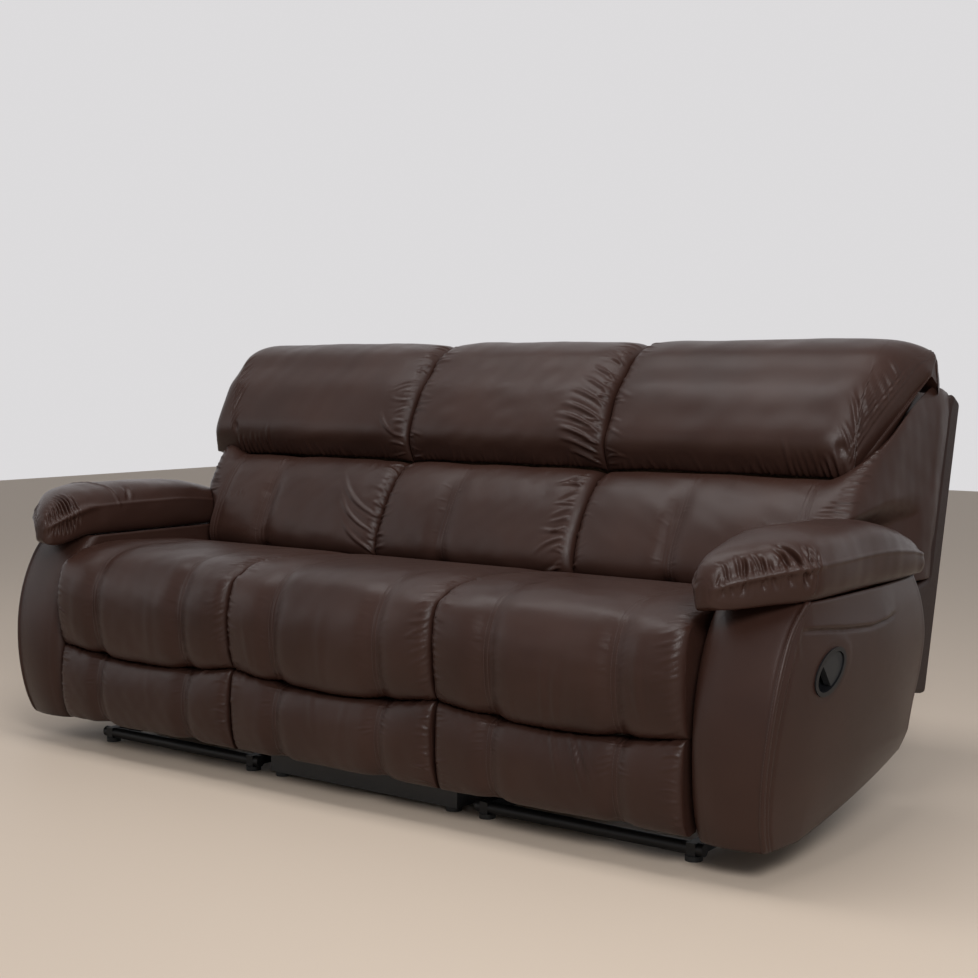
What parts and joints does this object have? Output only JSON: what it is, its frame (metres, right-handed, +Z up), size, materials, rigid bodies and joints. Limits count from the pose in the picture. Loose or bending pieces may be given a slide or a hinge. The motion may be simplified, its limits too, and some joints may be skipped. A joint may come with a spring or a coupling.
{
  "type": "reclining sofa",
  "caption": "Three-seat leather sofa whose two end seats recline by hand, with fold-out footrests, pillow arms and split back cushions",
  "frame": {"origin": "on the floor, in the middle of the sofa's width and depth", "axes": "+X to the right as seen from the front, +Y to the back, +Z up"},
  "size_m": [2.1554, 1.035, 0.9882],
  "materials": {
    "leather": "semi-gloss",
    "back_leather": "satin",
    "timber": "raw",
    "spring_steel": "satin",
    "bolt_steel": "zinc plated",
    "glide_plastic": "matte",
    "handle_black": "satin",
    "paddle_grey": "satin",
    "black_steel": "powder coated"
  },
  "bodies": {
    "root": {"left_arm_frame": "timber", "right_arm_frame": "timber", "left_arm_cover": "leather", "right_arm_cover": "leather", "left_arm_pad": "leather", "right_arm_pad": "leather", "left_release_cup": "handle_black", "right_release_cup": "handle_black", "left_base_frame": "black_steel", "right_base_frame": "black_steel", "centre_base_frame": "timber", "floor_glides": "glide_plastic", "centre_seat_frame": "timber", "centre_seat_springs": "spring_steel", "centre_seat_cushion": "leather", "centre_front_pad": "leather", "centre_back_frame": "timber", "centre_lumbar_cushion": "leather", "centre_headrest_cushion": "leather", "centre_outside_back": "back_leather", "frame_bolts": "bolt_steel"},
    "left_front_swing": {"left_swing_links_front": "black_steel"},
    "left_rear_swing": {"left_swing_links_rear": "black_steel"},
    "left_seat": {"left_seat_rails": "black_steel", "left_seat_frame": "timber", "left_seat_springs": "spring_steel", "left_seat_cushion": "leather"},
    "left_crank": {"left_crank_links": "black_steel"},
    "left_rear_link": {"left_rear_links": "black_steel"},
    "left_cross_link": {"left_cross_links": "black_steel"},
    "left_outer_link": {"left_outer_links": "black_steel"},
    "left_footrest": {"left_footrest_brackets": "black_steel", "left_footrest_board": "timber", "left_footrest_pad": "leather"},
    "left_back": {"left_back_frame": "timber", "left_lumbar_cushion": "leather", "left_headrest_cushion": "leather", "left_outside_back": "back_leather", "left_back_wing": "leather"},
    "left_paddle": {"left_release_paddle": "paddle_grey"},
    "right_front_swing": {"right_swing_links_front": "black_steel"},
    "right_rear_swing": {"right_swing_links_rear": "black_steel"},
    "right_seat": {"right_seat_rails": "black_steel", "right_seat_frame": "timber", "right_seat_springs": "spring_steel", "right_seat_cushion": "leather"},
    "right_crank": {"right_crank_links": "black_steel"},
    "right_rear_link": {"right_rear_links": "black_steel"},
    "right_cross_link": {"right_cross_links": "black_steel"},
    "right_outer_link": {"right_outer_links": "black_steel"},
    "right_footrest": {"right_footrest_brackets": "black_steel", "right_footrest_board": "timber", "right_footrest_pad": "leather"},
    "right_back": {"right_back_frame": "timber", "right_lumbar_cushion": "leather", "right_headrest_cushion": "leather", "right_outside_back": "back_leather", "right_back_wing": "leather"},
    "right_paddle": {"right_release_paddle": "paddle_grey"}
  },
  "joints": [
    {"name": "left_seat_shift", "type": "hinge", "parent": "root", "child": "left_front_swing", "pos_m": [-0.58, -0.1075, 0.25], "axis": [-1, 0, 0], "range_deg": [0, 35]},
    {"name": "left_rear_swing", "type": "hinge", "parent": "root", "child": "left_rear_swing", "pos_m": [-0.58, 0.0525, 0.25], "axis": [-1, 0, 0], "range_deg": [0, 35]},
    {"name": "left_seat_level", "type": "hinge", "parent": "left_front_swing", "child": "left_seat", "pos_m": [-0.58, -0.08044, 0.16417], "axis": [-1, 0, 0], "range_deg": [-35, 0]},
    {"name": "left_recline", "type": "hinge", "parent": "left_seat", "child": "left_back", "pos_m": [-0.58, 0.1525, 0.3], "axis": [-1, 0, 0], "range_deg": [0, 25]},
    {"name": "left_footrest", "type": "hinge", "parent": "left_seat", "child": "left_crank", "pos_m": [-0.58, -0.3075, 0.345], "axis": [-1, 0, 0], "range_deg": [0, 90]},
    {"name": "left_rear_link_turn", "type": "hinge", "parent": "left_seat", "child": "left_rear_link", "pos_m": [-0.58, -0.21677, 0.30295], "axis": [-1, 0, 0], "range_deg": [0, 90]},
    {"name": "left_cross_link_turn", "type": "hinge", "parent": "left_crank", "child": "left_cross_link", "pos_m": [-0.58, -0.1775, 0.135], "axis": [-1, 0, 0], "range_deg": [-90, 0]},
    {"name": "left_outer_link_turn", "type": "hinge", "parent": "left_crank", "child": "left_outer_link", "pos_m": [-0.58, -0.1775, 0.095], "axis": [-1, 0, 0], "range_deg": [-90, 0]},
    {"name": "left_footrest_turn", "type": "hinge", "parent": "left_cross_link", "child": "left_footrest", "pos_m": [-0.58, -0.3825, 0.23], "axis": [-1, 0, 0], "range_deg": [0, 90]},
    {"name": "left_release", "type": "hinge", "parent": "root", "child": "left_paddle", "pos_m": [-1.06783, -0.26922, 0.39561], "axis": [-0.0598, 0.5413, -0.8387], "range_deg": [0, 22], "stiffness_Nm_per_rad": 0.6},
    {"name": "right_seat_shift", "type": "hinge", "parent": "root", "child": "right_front_swing", "pos_m": [0.58, -0.1075, 0.25], "axis": [-1, 0, 0], "range_deg": [0, 35]},
    {"name": "right_rear_swing", "type": "hinge", "parent": "root", "child": "right_rear_swing", "pos_m": [0.58, 0.0525, 0.25], "axis": [-1, 0, 0], "range_deg": [0, 35]},
    {"name": "right_seat_level", "type": "hinge", "parent": "right_front_swing", "child": "right_seat", "pos_m": [0.58, -0.08044, 0.16417], "axis": [-1, 0, 0], "range_deg": [-35, 0]},
    {"name": "right_recline", "type": "hinge", "parent": "right_seat", "child": "right_back", "pos_m": [0.58, 0.1525, 0.3], "axis": [-1, 0, 0], "range_deg": [0, 25]},
    {"name": "right_footrest", "type": "hinge", "parent": "right_seat", "child": "right_crank", "pos_m": [0.58, -0.3075, 0.345], "axis": [-1, 0, 0], "range_deg": [0, 90]},
    {"name": "right_rear_link_turn", "type": "hinge", "parent": "right_seat", "child": "right_rear_link", "pos_m": [0.58, -0.21677, 0.30295], "axis": [-1, 0, 0], "range_deg": [0, 90]},
    {"name": "right_cross_link_turn", "type": "hinge", "parent": "right_crank", "child": "right_cross_link", "pos_m": [0.58, -0.1775, 0.135], "axis": [-1, 0, 0], "range_deg": [-90, 0]},
    {"name": "right_outer_link_turn", "type": "hinge", "parent": "right_crank", "child": "right_outer_link", "pos_m": [0.58, -0.1775, 0.095], "axis": [-1, 0, 0], "range_deg": [-90, 0]},
    {"name": "right_footrest_turn", "type": "hinge", "parent": "right_cross_link", "child": "right_footrest", "pos_m": [0.58, -0.3825, 0.23], "axis": [-1, 0, 0], "range_deg": [0, 90]},
    {"name": "right_release", "type": "hinge", "parent": "root", "child": "right_paddle", "pos_m": [1.06783, -0.26922, 0.39561], "axis": [-0.0598, -0.5413, 0.8387], "range_deg": [0, 22], "stiffness_Nm_per_rad": 0.6}
  ],
  "couplings": [
    {"joint": "left_rear_swing", "follows": "left_seat_shift", "ratio": 1},
    {"joint": "left_seat_level", "follows": "left_seat_shift", "ratio": -1},
    {"joint": "left_recline", "follows": "left_seat_shift", "ratio": 0.71429},
    {"joint": "left_rear_link_turn", "follows": "left_footrest", "ratio": 1},
    {"joint": "left_cross_link_turn", "follows": "left_footrest", "ratio": -1},
    {"joint": "left_outer_link_turn", "follows": "left_footrest", "ratio": -1},
    {"joint": "left_footrest_turn", "follows": "left_footrest", "ratio": 1},
    {"joint": "right_rear_swing", "follows": "right_seat_shift", "ratio": 1},
    {"joint": "right_seat_level", "follows": "right_seat_shift", "ratio": -1},
    {"joint": "right_recline", "follows": "right_seat_shift", "ratio": 0.71429},
    {"joint": "right_rear_link_turn", "follows": "right_footrest", "ratio": 1},
    {"joint": "right_cross_link_turn", "follows": "right_footrest", "ratio": -1},
    {"joint": "right_outer_link_turn", "follows": "right_footrest", "ratio": -1},
    {"joint": "right_footrest_turn", "follows": "right_footrest", "ratio": 1}
  ]
}
